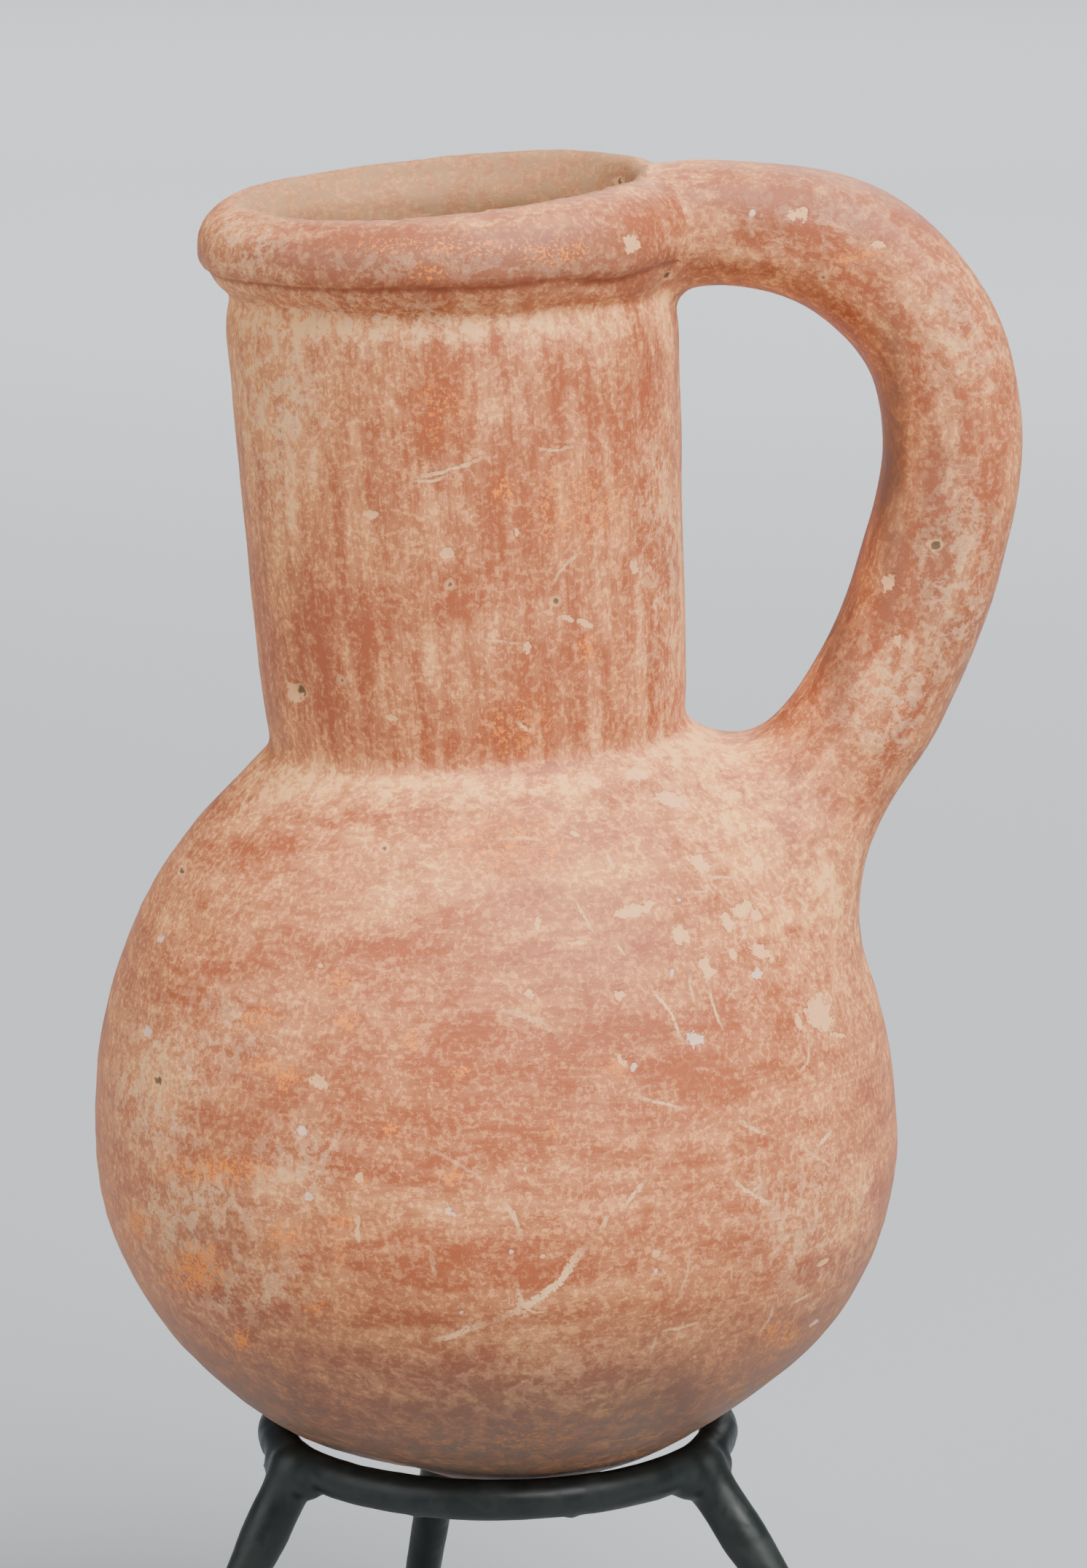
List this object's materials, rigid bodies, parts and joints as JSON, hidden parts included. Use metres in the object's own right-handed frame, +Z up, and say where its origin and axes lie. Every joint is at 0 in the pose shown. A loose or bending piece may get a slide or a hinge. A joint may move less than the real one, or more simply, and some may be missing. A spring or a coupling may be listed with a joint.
{
  "type": "burnished juglet on a tripod stand",
  "caption": "Round-bodied clay juglet with an upright neck, rolled rim and strap handle, hollow, resting in a wire ring stand on splayed legs.",
  "frame": {"origin": "on the surface that the stand's feet rest on, under the middle of the bounding box", "axes": "+Z up along the vessel's axis, +X towards the handle"},
  "size_m": [0.0994, 0.0962, 0.1799],
  "materials": {
    "burnished_clay": "burnished red-brown slip, matt where it is worn and dusted with pale deposit",
    "coated_wire": "thick black coating, satin"
  },
  "bodies": {
    "root": {"juglet": "burnished_clay", "tripod_stand": "coated_wire"}
  },
  "joints": []
}
